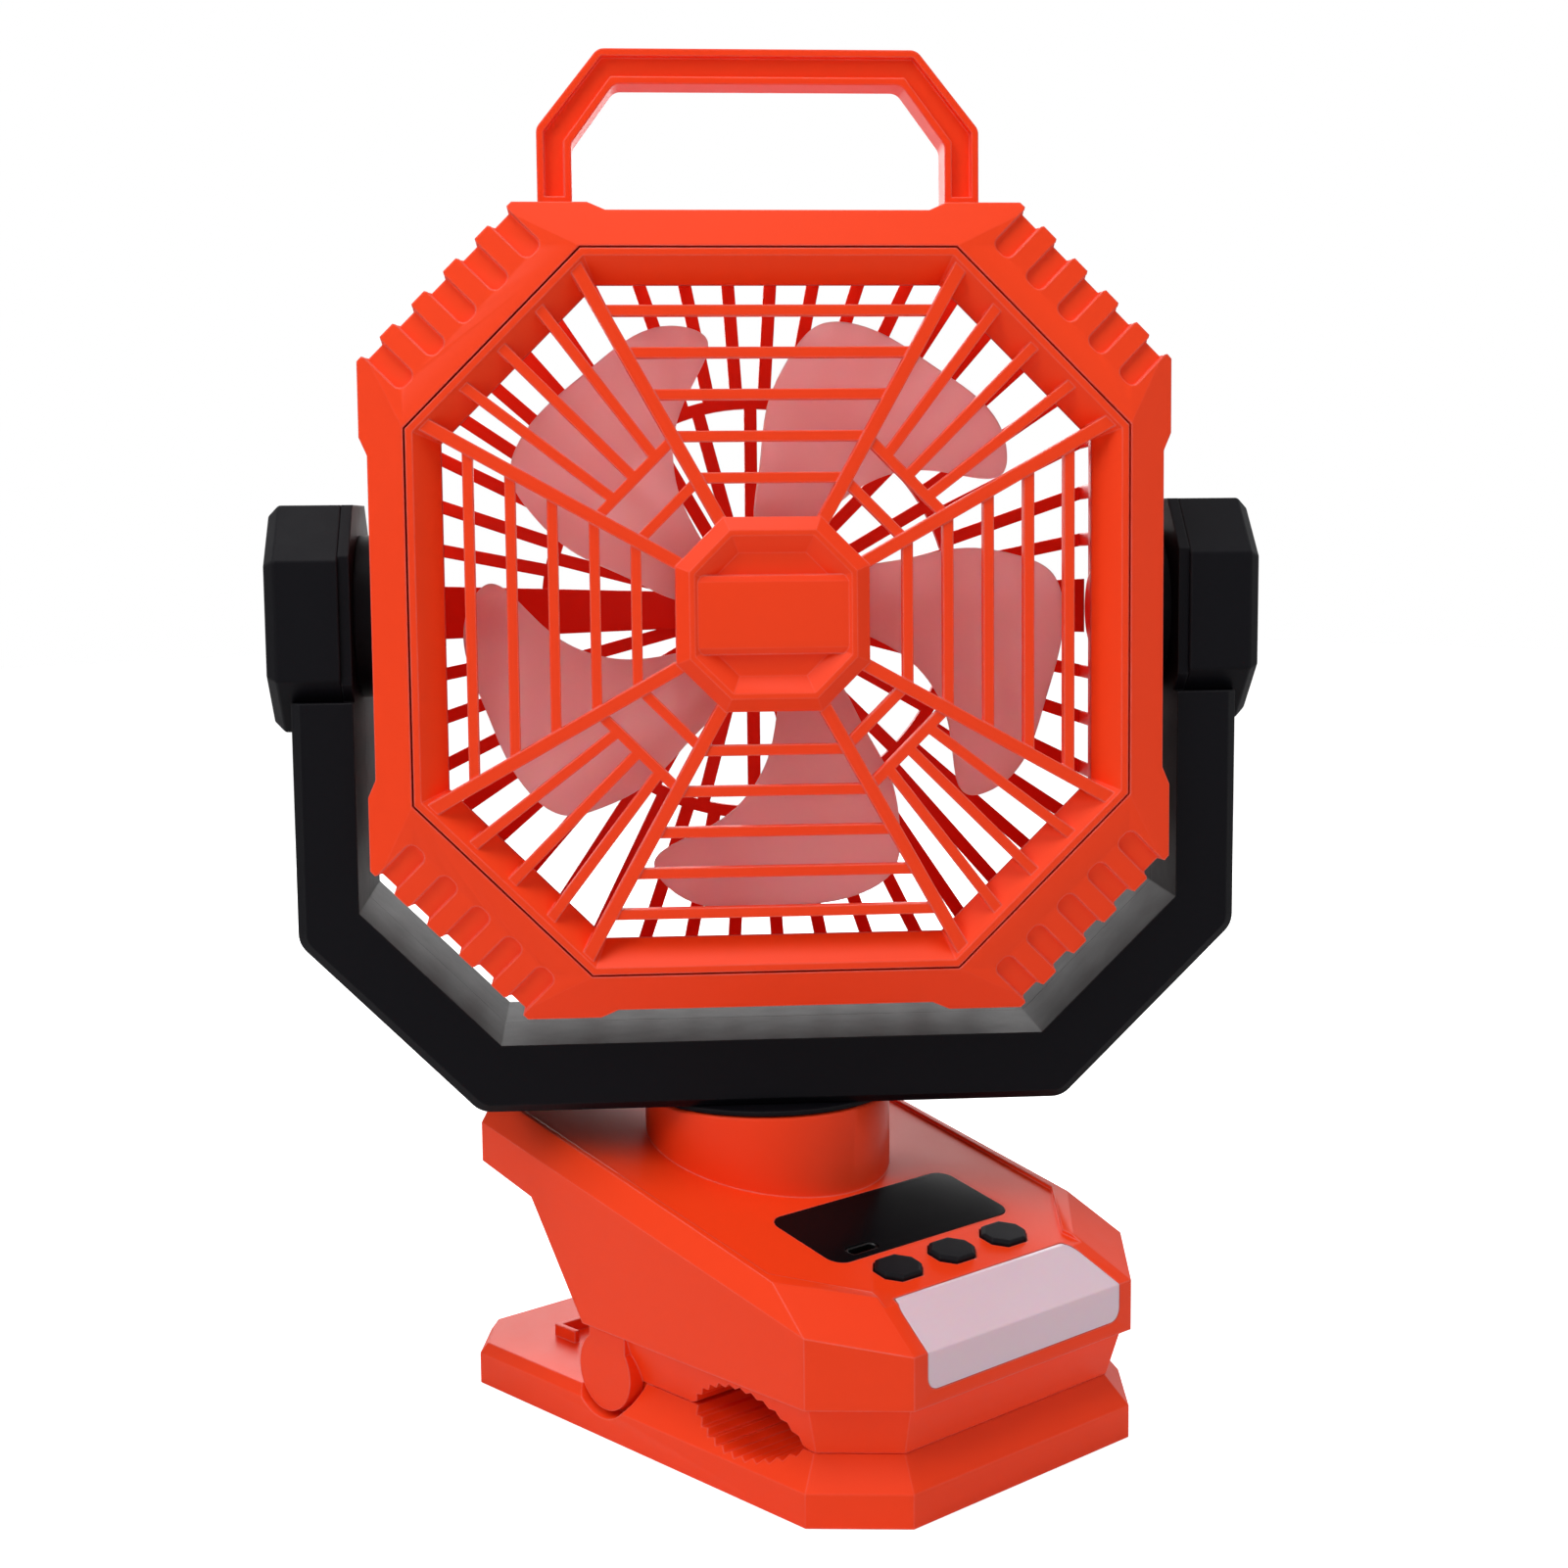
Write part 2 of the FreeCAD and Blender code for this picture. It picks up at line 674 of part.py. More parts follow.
def make_yoke_half(side):
    y0, y1 = sorted((0.0, side * yoke_half_depth))
    band = prism(u_points(0), "y", y0, y1)
    corners = [e for e in band.Edges if abs(e.tangentAt(e.FirstParameter).y) > 0.99
               and abs(e.CenterOfMass.z + yoke_bottom) < 0.01 or
               (abs(e.tangentAt(e.FirstParameter).y) > 0.99 and abs(abs(e.CenterOfMass.x) - arm_outer) < 0.01
                and e.CenterOfMass.z < arm_top - 10)]
    band = band.makeFillet(yoke_round, corners)
    outer_face = [e for e in band.Edges if abs(e.CenterOfMass.y - side * yoke_half_depth) < 0.01
                  and abs(e.tangentAt(e.FirstParameter).y) < 0.01 and e.CenterOfMass.z < arm_top - 1
                  and (abs(e.CenterOfMass.x) > arm_inner + 3 or e.CenterOfMass.z < -yoke_bottom + 1
                       or abs(e.CenterOfMass.x) + abs(e.CenterOfMass.z) > yoke_in_diag * math.sqrt(2) + 8)]
    band = band.makeChamfer(yoke_bevel, outer_face)
    z0, z1 = sorted((0.0, side * (yoke_half_depth - wall)))
    band = band.cut(prism(u_points(wall), "y", z0 - 0.1 * (side > 0), z1 + 0.1 * (side < 0)))
    knobs = []
    for s in (1, -1):
        x0, x1 = sorted((s * arm_inner, s * (knob_out + 1)))
        knobs.append(prism(knob_points(0), "x", x0, x1))
    band = band.cut(Part.makeCompound(knobs))
    cheeks = []
    for s in (1, -1):
        x0, x1 = sorted((s * arm_inner, s * (arm_inner + 2.5)))
        cheek = prism(knob_points(0), "x", x0, x1)
        cheek = cheek.common(box(-far, far, y0, y1, -far, far))
        cheeks.append(cheek.cut(rod("x", trunnion_radius + gap, -far, far)))
    bosses = []
    for x in (-yoke_screw_x, yoke_screw_x):
        middle = -(yoke_bottom + yoke_bottom_in) / 2
        start, end = sorted((side * 0.2, side * (yoke_half_depth - wall / 2)))
        boss = rod("y", 3.6, start, end, (x, middle)).fuse(box(x - 1, x + 1, start, end,
                                                               -yoke_bottom + 1, -yoke_bottom_in - 1))
        bosses.append(boss.cut(rod("y", 1.6, -far, far, (x, middle))))
    body = fused([band] + cheeks + bosses)
    if side > 0:
        for x in (-yoke_screw_x, yoke_screw_x):
            middle = -(yoke_bottom + yoke_bottom_in) / 2
            body = body.cut(rod("y", 1.6, 0, far, (x, middle)))
            body = body.cut(rod("y", 3.1, yoke_half_depth - 6, far, (x, middle)))
    post = rod("z", 2.0, -yoke_bottom - 1, -yoke_bottom + wall + 1)
    return body.cut(post)


def yoke_screws():
    pieces = []
    middle = -(yoke_bottom + yoke_bottom_in) / 2
    for x in (-yoke_screw_x, yoke_screw_x):
        head = rod("y", 2.9, yoke_half_depth - 6, yoke_half_depth - 4, (x, middle))
        shank = rod("y", 1.5, yoke_half_depth - 6 - yoke_screw_length, yoke_half_depth - 6, (x, middle))
        pieces.append(head.fuse(shank).removeSplitter())
    return pieces


def make_knob():
    start = arm_inner + 2.5
    block = prism(knob_points(0), "x", start, knob_out - knob_bevel)
    cap = taper(knob_points(0), knob_points(knob_bevel), "x", knob_out - knob_bevel, knob_out)
    body = fused([block, cap])
    return body.cut(prism(knob_points(wall), "x", start - 1, knob_out - wall))


def make_pivot_disc():
    inner = wall_half + gap
    disc = rod("x", disc_radius, inner, arm_inner)
    edge = [e for e in disc.Edges if abs(e.CenterOfMass.x - inner) < 0.01]
    disc = disc.makeChamfer(1.0, edge)
    return disc.cut(rod("x", trunnion_radius + running, 0, far))


def make_trunnion():
    wall_in = wall_half - wall - 2.5
    shaft = rod("x", trunnion_radius, wall_in - 2, arm_inner + 9)
    flange = rod("x", boss_radius - 3, wall_in - 2, wall_in)
    return shaft.fuse(flange).removeSplitter()


# Swivel
def make_swivel_post():
    low = -yoke_bottom - flange_thick
    disc = rod("z", flange_radius, low, -yoke_bottom)
    spigot = rod("z", spigot_radius, low - spigot_length, low)
    body = fused([disc, spigot])
    return body.cut(rod("z", 8.0, low - spigot_length - 1, low)).cut(rod("z", 2.0, low - 1, 0))


collar_top = pivot_height - yoke_bottom - flange_thick - collar_gap
spigot_end = pivot_height - yoke_bottom - flange_thick - spigot_length


# Clip body: faceted block, made smaller by an inset for its cavity
def cut_beyond(shape, a, b, c, inset, inside):
    a, b, c = Vector(*a), Vector(*b), Vector(*c)
    normal = (b - a).cross(c - a).normalize()
    if normal.dot(Vector(*inside) - a) > 0:
        normal = normal * -1
    slab = Part.makeBox(2 * far, 2 * far, far, Vector(-far, -far, 0))
    slab.Placement = Placement(a - normal * inset, Rotation(Vector(0, 0, 1), normal))
    return shape.cut(slab)


def top_at(y):
    return top_height + top_slope * y


def body_block(inset):
    half = body_half - inset
    face = body_front - inset
    tail = tail_reach - inset
    low = step_height if inset == 0 else step_height - 1
    shift = inset * 1.25
    side = [(tail, tail_low + inset), (tail, top_at(tail) - inset), (-facet_y, top_at(-facet_y) - inset),
            (-face, top_at(-facet_y) - inset), (-face, low), (heel - shift, low),
            (tail_inner - shift, tail_inner_height + inset)]
    chamfer = body_chamfer - inset * 0.6
    plan = [(-half, -face + chamfer), (-half + chamfer, -face), (half - chamfer, -face), (half, -face + chamfer),
            (half, far), (-half, far)]
    block = prism(side, "x", -half, half).common(prism(plan, "z", 0, far))
    centre = (0, -20, step_height + 5)
    e1 = -body_front + body_chamfer
    corner_height = edge_height + edge_slope * e1
    block = cut_beyond(block, (0, -body_front, front_edge_height), (1, -body_front, front_edge_height),
                       (0, -facet_y, top_at(-facet_y)), inset, centre)
    for s in (1, -1):
        block = cut_beyond(block, (s * body_half, e1, corner_height), (s * body_half, 0, edge_height),
                           (s * crest_half, 0, top_height), inset, centre)
        block = cut_beyond(block, (s * body_half, e1, corner_height),
                           (s * (body_half - body_chamfer), -body_front, front_edge_height),
                           (s * facet_half, -facet_y, top_at(-facet_y)), inset, centre)
    return block


def panel_plan(rim):
    half = crest_half - rim
    back = body_front - body_chamfer - 14.0
    reach = facet_y + 6
    return [(-half, -back + rim), (-facet_half + rim * 0.6, -facet_y + rim * 0.4), (-facet_half, -reach),
            (facet_half, -reach), (facet_half - rim * 0.6, -facet_y + rim * 0.4), (half, -back + rim),
            (half, far), (-half, far)]


def rounded(points, start, end, radius):
    block = prism(points, "z", start, end)
    edges = [e for e in block.Edges if abs(e.tangentAt(e.FirstParameter).z) > 0.99]
    return block.makeFillet(radius, edges)


def window_points(grow):
    half = window_half + grow
    return [(-half, -window_front - grow), (half, -window_front - grow), (half, -window_rear + grow),
            (-half, -window_rear + grow)]


def button_points(x, grow):
    half = button_size[0] / 2 + grow
    deep = button_size[1] / 2 + grow
    c = button_chamfer
    return [(x - half, -button_y - deep + c), (x - half + c, -button_y - deep), (x + half - c, -button_y - deep),
            (x + half, -button_y - deep + c), (x + half, -button_y + deep - c), (x + half - c, -button_y + deep),
            (x - half + c, -button_y + deep), (x - half, -button_y + deep - c)]


button_places = [-button_pitch, 0.0, button_pitch]
panel_level = -panel_recess * math.cos(math.radians(panel_angle))


def lens_points(grow):
    half = lens_half + grow
    low = lens_low - grow
    top = lens_top + grow
    bend = front_edge_height
    return [(-half, bend), (-half, low), (half, low), (half, bend), (half - lens_lean, top),
            (-half + lens_lean, top)]


def lens_prism(grow, back):
    block = prism(lens_points(grow), "y", -far, back)
    corners = [e for e in block.Edges if abs(e.tangentAt(e.FirstParameter).y) > 0.99
               and abs(e.CenterOfMass.z - front_edge_height) > 1]
    return block.makeFillet(lens_round + grow, corners)


def leg_slots(low):
    middle = spring_x + spring_turns * spring_pitch / 2
    slots = [box(*sorted((side * (middle - 2.0), side * (middle + 2.0))), hinge_y - 6.5, far, low,
                 hinge_z + 21) for side in (1, -1)]
    return Part.makeCompound(slots)


def make_clip_shell():
    block = body_block(0)
    panel = prism(panel_plan(panel_rim), "z", panel_level, 40)
    block = block.cut(placed(panel, panel_place))
    block = block.cut(body_block(wall + 0.2))
    collar = rod("z", collar_radius, top_height - 10, collar_top)
    collar = collar.common(body_block(0).fuse(box(-40, 40, -40, 40, top_height - 8, far)))
    rim = [e for e in collar.Edges if abs(e.CenterOfMass.z - collar_top) < 0.01]
    collar = collar.makeFillet(0.8, rim)
    body = fused([block, collar])
    body = body.cut(rod("z", collar_radius - 3, step_height, collar_top - 3))
    body = body.cut(rod("z", spigot_radius + running, 0, far)).cut(leg_slots(0))
    window = rounded(window_points(fit), panel_level - window_thick, 20, window_round)
    opening = rounded(window_points(-1.4), -far, 20, window_round - 1)
    cuts = [window, opening] + [prism(button_points(x, 0.25), "z", -20, 20) for x in button_places]
    body = body.cut(placed(Part.makeCompound(cuts), panel_place))
    lens = lens_prism(fit, -lens_back + fit).cut(body_block(lens_thick))
    body = body.cut(lens).cut(lens_prism(-2.0, -lens_back - 1.5))
    bosses = [rod("z", 3.4, step_height + 0.2, far, (x, y)) for x, y in jaw_screw_places]
    bosses = Part.makeCompound(bosses).common(body_block(panel_recess + 0.4)).Solids
    body = fused([body] + bosses)
    for x, y in jaw_screw_places:
        body = body.cut(rod("z", 1.6, 0, step_height + 10, (x, y)))
    return body


def make_lens():
    skin = body_block(0).cut(body_block(lens_thick - fit))
    return skin.common(lens_prism(0.0, -lens_back))


# Tube hole with teeth, as a cutter along X
def toothed(rise, up):
    radius = (tube_chord ** 2 + rise ** 2) / (2 * rise)
    middle = (rise - radius) * up
    spread = math.asin(tube_chord / radius)
    points = []
    steps = 2 * tooth_count
    for k in range(steps + 1):
        angle = -spread + 2 * spread * k / steps
        r = radius - tooth * (k % 2)
        points.append((tube_y + r * math.sin(angle), jaw_height + middle + up * r * math.cos(angle)))
    far_side = jaw_height - up * 3
    points = points + [(tube_y + tube_chord, far_side), (tube_y - tube_chord, far_side)]
    return prism(points, "x", -far, far)


def make_upper_jaw():
    low = [(-lip_bottom_half, heel), (-lip_bottom_half, -lip_bottom_front + lip_chamfer),
           (-lip_bottom_half + lip_chamfer, -lip_bottom_front), (lip_bottom_half - lip_chamfer, -lip_bottom_front),
           (lip_bottom_half, -lip_bottom_front + lip_chamfer), (lip_bottom_half, heel)]
    high = [(-lip_half, heel), (-lip_half, -lip_front + lip_chamfer + 2),
            (-lip_half + lip_chamfer + 2, -lip_front), (lip_half - lip_chamfer - 2, -lip_front),
            (lip_half, -lip_front + lip_chamfer + 2), (lip_half, heel)]
    lip = taper(low, high, "z", jaw_height, step_height)
    inner_low = [(x * 0.94, y if y > 0 else y * 0.96) for x, y in low]
    inner_low = [(x, y - wall if y > 0 else y) for x, y in inner_low]
    tub = prism(inner_low, "z", jaw_height + wall, far)
    trough_height = jaw_height + tube_rise + wall
    trough = box(-far, far, tube_y - tube_chord - wall, tube_y + tube_chord + wall, 0, trough_height)
    hinge_roof = step_height - wall
    mechanism = box(-ear_in + 0.1, ear_in - 0.1, hinge_y - 12, far, 0, hinge_roof)
    bridge = box(-far, far, hinge_y - 12 - wall, far, 0, far)
    tub = tub.cut(trough).cut(bridge)
    body = lip.cut(tub).cut(mechanism)
    body = body.cut(box(-far, far, hinge_y - 12, far, 0, hinge_roof).cut(box(-ear_out, ear_out, -far, far, 0, far)))
    ears = []
    for side in (1, -1):
        x0, x1 = sorted((side * ear_in, side * ear_out))
        ear = rod("x", ear_radius, x0, x1, (hinge_y, hinge_z))
        neck = box(x0, x1, hinge_y - ear_radius * 0.8, hinge_y + ear_radius * 0.6, hinge_z, step_height)
        ears.append(ear.fuse(neck))
    body = fused([body] + ears)
    clear = rod("x", notch_radius - 0.2, -ear_in, ear_in, (hinge_y, hinge_z))
    body = body.cut(box(-far, far, hinge_y - 12, far, 0, jaw_height).cut(Part.makeCompound(ears)))
    body = body.cut(clear.common(box(-ear_in, ear_in, -far, far, 0, hinge_roof)))
    body = body.cut(rod("x", hinge_pin_radius + running, -ear_in - 2.5, ear_in + 2.5, (hinge_y, hinge_z)))
    body = body.cut(leg_slots(0))
    for x, y in jaw_screw_places:
        body = body.fuse(rod("z", 3.8, jaw_height, step_height, (x, y)))
        body = body.cut(rod("z", 1.6, 0, far, (x, y)))
        body = body.cut(rod("z", 3.1, 0, jaw_height + 4, (x, y)))
    return body.cut(toothed(tube_rise, 1))


def jaw_screws():
    head = jaw_height + 4
    return [rod("z", 2.8, head - 2, head, (x, y)).fuse(rod("z", 1.5, head, step_height + 8, (x, y)))
            .removeSplitter() for x, y in jaw_screw_places]


def make_lower_jaw():
    def plan(inset):
        half = foot_half - inset
        head = foot_front - inset
        back = foot_rear - inset * 0.4
        cut = foot_chamfer - inset * 0.5
        tail = foot_rear_chamfer
        return [(-half, -head + cut), (-half + cut, -head), (half - cut, -head), (half, -head + cut),
                (half, back - tail), (half - tail, back), (-half + tail, back), (-half, back - tail)]
    top = jaw_height - jaw_gap
    base = prism(plan(0), "z", 0, foot_edge)
    rim = taper(plan(0), plan(foot_slope), "z", foot_edge, top)
    body = fused([base, rim])
    body = body.cut(box(-far, far, hinge_y + 6, far, plate_top, far))
    notch = rod("x", notch_radius, -far, far, (hinge_y, hinge_z))
    sides = notch.cut(box(-ear_in + 0.4, ear_in - 0.4, -far, far, 0, far))
    body = body.cut(sides)
    well = 4.2
    body = body.cut(box(-ear_in + 3.6, ear_in - 3.6, hinge_y - 10.5, hinge_y + 9, well, far))
    lugs = []
    for x in (-ear_in + 1.9, -8.0, 8.0, ear_in - 1.9):
        lug = rod("x", 5.2, x - 1.5, x + 1.5, (hinge_y, hinge_z))
        lugs.append(lug.fuse(box(x - 1.5, x + 1.5, hinge_y - 5.2, hinge_y + 5.2, well - 1, hinge_z)))
    for side in (1, -1):
        outer = box(*sorted((side * seat_in, side * seat_out)), 33.0, seat_reach, plate_top - 1,
                    plate_top + seat_height)
        inner = box(*sorted((side * (seat_in + seat_wall), side * (seat_out - seat_wall))), 0.0,
                    seat_reach - seat_wall, plate_top, far)
        lugs.append(outer.cut(inner))
    body = fused([body] + lugs)
    body = body.cut(rod("x", hinge_pin_radius + running, -ear_in, ear_in, (hinge_y, hinge_z)))
    leg_x = spring_x - spring_turns * spring_pitch / 2
    for side in (1, -1):
        x0, x1 = sorted((side * (leg_x - 1.4), side * (leg_x + 1.4)))
        body = body.cut(box(x0, x1, hinge_y, 28, plate_top - 1, far))
    pockets = []
    for x in (-33.0, -11.0, 11.0, 33.0):
        pockets.append(box(x - 9.5, x + 9.5, -foot_front + 20, hinge_y - 16, -1, 5.0))
        pockets.append(box(x - 9.5, x + 9.5, hinge_y + 14, foot_rear - 15, -1, 6.0))
    body = body.cut(Part.makeCompound(pockets))
    return body.cut(toothed(tube_sink, -1))


# Torsion springs: a coil of arcs around the hinge pin, with a leg to each jaw
def coil_point(side, share):
    turn = spring_turns * share
    angle = math.radians(-90 - 360 * turn)
    x = side * (spring_x + (turn - spring_turns / 2) * spring_pitch)
    return Vector(x, hinge_y + spring_radius * math.cos(angle), hinge_z + spring_radius * math.sin(angle))


def make_spring(side):
    arcs = 18
    points = [coil_point(side, k / (2 * arcs)) for k in range(2 * arcs + 1)]
    first = points[0]
    last = points[-1]
    foot = Vector(first.x, seat_reach - seat_wall - 1.2, plate_top + spring_wire / 2 + 0.2)
    edges = [Part.LineSegment(foot, first).toShape()]
    for k in range(arcs):
        edges.append(Part.Arc(points[2 * k], points[2 * k + 1], points[2 * k + 2]).toShape())
    end_angle = math.radians(-90 - 360 * spring_turns)
    leg = last + Vector(0, math.sin(end_angle), -math.cos(end_angle)) * leg_length
    edges.append(Part.LineSegment(last, leg).toShape())
    profile = Part.Wire([Part.makeCircle(spring_wire / 2, foot, (first - foot).normalize())])
    spring = Part.Wire(edges).makePipeShell([profile], True, False)
    dense = [coil_point(side, k / 200) for k in range(201)]
    apart = 30
    least = min((dense[i] - dense[j]).Length for i in range(201) for j in range(i + apart, 201))
    print("spring least gap to itself", round(least - spring_wire, 2))
    return spring


# Controls and power
def make_controls():
    window = rounded(window_points(0), panel_level - window_thick, panel_level + 0.1, window_round)
    px, py = port_place[0], port_place[1] / math.cos(math.radians(panel_angle))
    wide, high, deep = port_size
    slot = rounded([(px - wide / 2 - fit, py - high / 2 - fit), (px + wide / 2 + fit, py - high / 2 - fit),
                    (px + wide / 2 + fit, py + high / 2 + fit), (px - wide / 2 - fit, py + high / 2 + fit)],
                   -far, far, high / 2 - 0.05)
    port = rounded([(px - wide / 2, py - high / 2), (px + wide / 2, py - high / 2),
                    (px + wide / 2, py + high / 2), (px - wide / 2, py + high / 2)],
                   panel_level - board_drop + board_thick, panel_level - 0.1, high / 2 - 0.05)
    port_in = rounded([(px - wide / 2 + 0.4, py - high / 2 + 0.4), (px + wide / 2 - 0.4, py - high / 2 + 0.4),
                       (px + wide / 2 - 0.4, py + high / 2 - 0.4), (px - wide / 2 + 0.4, py + high / 2 - 0.4)],
                      panel_level - deep + 1, far, high / 2 - 0.5)
    tongue = box(px - 3.3, px + 3.3, py - 0.35, py + 0.35, panel_level - deep, panel_level - 1.6)
    port = port.cut(port_in).fuse(tongue).removeSplitter()
    module = box(-10, 25, -52, -36, panel_level - 5.2, panel_level - window_thick - gap)
    module = module.cut(box(px - wide / 2 - 1, px + wide / 2 + 1, py - 3, py + 3, -far, far))
    board_low = panel_level - board_drop
    board = box(-36, 36, -button_y - 6, -board_rear, board_low, board_low + board_thick)
    return window.cut(slot), module, board, port


def make_button(x):
    cap = prism(button_points(x, 0), "z", panel_level - wall, panel_level + button_proud - 0.5)
    crown = taper(button_points(x, 0), button_points(x, -0.5), "z", panel_level + button_proud - 0.5,
                  panel_level + button_proud)
    flange = prism(button_points(x, 1.0), "z", panel_level - wall - 1.8, panel_level - wall - 0.8)
    neck = prism(button_points(x, 0), "z", panel_level - wall - 1.8, panel_level - wall)
    stem = rod("z", 2.0, panel_level - board_drop + board_thick + 2.4 + button_travel + 0.1,
               panel_level - wall, (x, -button_y))
    return fused([cap, crown, flange, neck, stem])


def button_switches():
    base = panel_level - board_drop + board_thick
    return [box(x - 3, x + 3, -button_y - 3, -button_y + 3, base, base + 2.4) for x in button_places]


def make_battery():
    z = step_height + 1.4 + cell_radius
    first = cell_middle
    pitch = 2 * cell_radius + cell_gap
    cells = [rod("x", cell_radius, -cell_length / 2, cell_length / 2, (first - pitch / 2 + k * pitch, z))
             for k in range(2)]
    cradle = box(-cell_length / 2 - 2, cell_length / 2 + 2, first - pitch, first + pitch, step_height + 0.2,
                 z - 4)
    for k in range(2):
        cradle = cradle.cut(rod("x", cell_radius + 0.2, -cell_length / 2 - 0.3, cell_length / 2 + 0.3,
                                (first - pitch / 2 + k * pitch, z)))
    return cells, cradle


def make_lamp():
    y = -body_front + wall + 4.6
    board = box(-28, 28, y, y + board_thick, lens_low, front_edge_height + 1.4)
    pitch = 50.0 / (led_count - 1)
    leds = [box(-25 + pitch * k - 1.75, -25 + pitch * k + 1.75, y - 1.0, y, 32, 35.5) for k in range(led_count)]
    return board, leds


os.makedirs("parts", exist_ok=True)

save("lower_jaw", make_lower_jaw())
save("hinge_pin", rod("x", hinge_pin_radius, -ear_in - 2.2, ear_in + 2.2, (hinge_y, hinge_z)))
save("spring_left", make_spring(-1))
save("spring_right", make_spring(1))
save("clip_shell", make_clip_shell())
save("upper_jaw", make_upper_jaw())
save("jaw_screws", jaw_screws())
window_shape, module_shape, board_shape, port_shape = make_controls()
save("display_window", window_shape, panel_place)
save("display_module", module_shape, panel_place)
save("control_board", board_shape, panel_place)
save("charge_port", port_shape, panel_place)
save("button_switches", button_switches(), panel_place)
for name, x in zip(("left", "middle", "right"), button_places):
    save("button_" + name, make_button(x), panel_place)
save("lamp_lens", make_lens())
lamp_board, lamp_leds = make_lamp()
save("lamp_board", lamp_board)
save("lamp_leds", lamp_leds)
battery_cells, battery_cradle = make_battery()
save("battery_cells", battery_cells)
save("battery_cradle", battery_cradle)
save("swivel_post", make_swivel_post(), yoke_place)
save("yoke_front", make_yoke_half(-1), yoke_place)
save("yoke_rear", make_yoke_half(1), yoke_place)
save("yoke_screws", yoke_screws(), yoke_place)
for name, side in (("left", -1), ("right", 1)):
    change = flipped if side < 0 else (lambda s: s)
    save("knob_" + name, change(make_knob()), yoke_place)
    save("pivot_disc_" + name, change(make_pivot_disc()), yoke_place)
    save("trunnion_" + name, change(make_trunnion()), head_place)
washer = tube("x", 9.0, trunnion_radius + gap, arm_inner + 2.6, arm_inner + 3.8)
save("pivot_washers", [washer, flipped(washer)], yoke_place)
nut = rod("x", 8.0, arm_inner + 4.1, arm_inner + 8.1).cut(rod("x", trunnion_radius, 0, far))
save("pivot_nuts", [nut, flipped(nut)], head_place)
save("front_frame", make_front_frame(), head_place)
save("front_grille", make_front_grille(), head_place)
save("rear_housing", make_rear_housing(), head_place)
save("rear_grille", make_rear_grille(), head_place)
save("frame_screws", frame_screws(), head_place)
can, cap, bushes, magnets, armature, shaft = make_motor()
save("motor_can", can, head_place)
save("motor_cap", cap, head_place)
save("motor_bushes", bushes, head_place)
save("motor_magnets", magnets, head_place)
save("motor_armature", armature, head_place)
save("motor_shaft", shaft, head_place)
save("fan_rotor", make_rotor(), head_place)
save("handle", make_handle(), head_place)
save("handle_pins", handle_pins(), head_place)
ring = tube("z", spigot_radius + 3, spigot_radius + running / 2, spigot_end + 0.5, spigot_end + 2.5)
save("swivel_ring", ring)
save("swivel_washer", tube("z", spigot_radius + 5, spigot_radius + gap, spigot_end + 2.7, collar_top - 3.2))
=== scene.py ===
import json
import math
import bmesh
import bpy
from mathutils import Matrix, Vector

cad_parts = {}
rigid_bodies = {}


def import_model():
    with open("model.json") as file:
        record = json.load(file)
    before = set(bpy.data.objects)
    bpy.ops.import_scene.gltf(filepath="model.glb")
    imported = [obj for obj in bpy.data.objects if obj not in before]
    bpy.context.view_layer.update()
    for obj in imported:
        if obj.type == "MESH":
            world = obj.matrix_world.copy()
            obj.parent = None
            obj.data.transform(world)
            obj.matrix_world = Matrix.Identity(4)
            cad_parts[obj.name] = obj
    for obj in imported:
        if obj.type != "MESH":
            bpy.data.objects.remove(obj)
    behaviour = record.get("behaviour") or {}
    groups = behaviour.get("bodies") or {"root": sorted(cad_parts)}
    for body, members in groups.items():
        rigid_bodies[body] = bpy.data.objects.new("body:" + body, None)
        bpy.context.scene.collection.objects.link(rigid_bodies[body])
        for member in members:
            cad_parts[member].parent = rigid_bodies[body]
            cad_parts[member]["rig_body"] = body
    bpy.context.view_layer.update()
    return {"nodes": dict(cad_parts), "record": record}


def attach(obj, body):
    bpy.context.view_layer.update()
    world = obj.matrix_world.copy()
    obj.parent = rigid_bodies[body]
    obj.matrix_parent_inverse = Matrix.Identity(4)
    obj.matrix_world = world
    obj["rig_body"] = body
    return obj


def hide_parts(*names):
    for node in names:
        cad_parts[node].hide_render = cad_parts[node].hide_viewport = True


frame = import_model()
nodes = frame["nodes"]

# Rounding of the edges, in metres and degrees
BEVEL = 0.00045
LAND_BEVEL = 0.0007
FINE_BEVEL = 0.00025
BEVEL_STEPS = 2
SHARP_ANGLE = 24.0
FLAT_ANGLE = 0.4
WELD = 1e-6

# Texture scales per metre, and the heights and radii that they work with
DRIFT_SCALE = 14.0
MARKS_SCALE = 160.0
GRAIN_SCALE = 3200.0
GRAIN_DEPTH = 0.00004
EDGE_RADIUS = 0.0006
EDGE_GAIN = 5.0
MARKS_GAIN = 1.6
POLISH = 0.15

# Camera: place in metres, angles, and lens and sensor in millimetres
CAMERA_PLACE = Vector((-0.3728, -0.4090, 0.2116))
CAMERA_HEADING = math.radians(42.84)
CAMERA_PITCH = math.radians(6.45)
CAMERA_ROLL = math.radians(0.51)
LENS = 53.08
SENSOR = 36.0

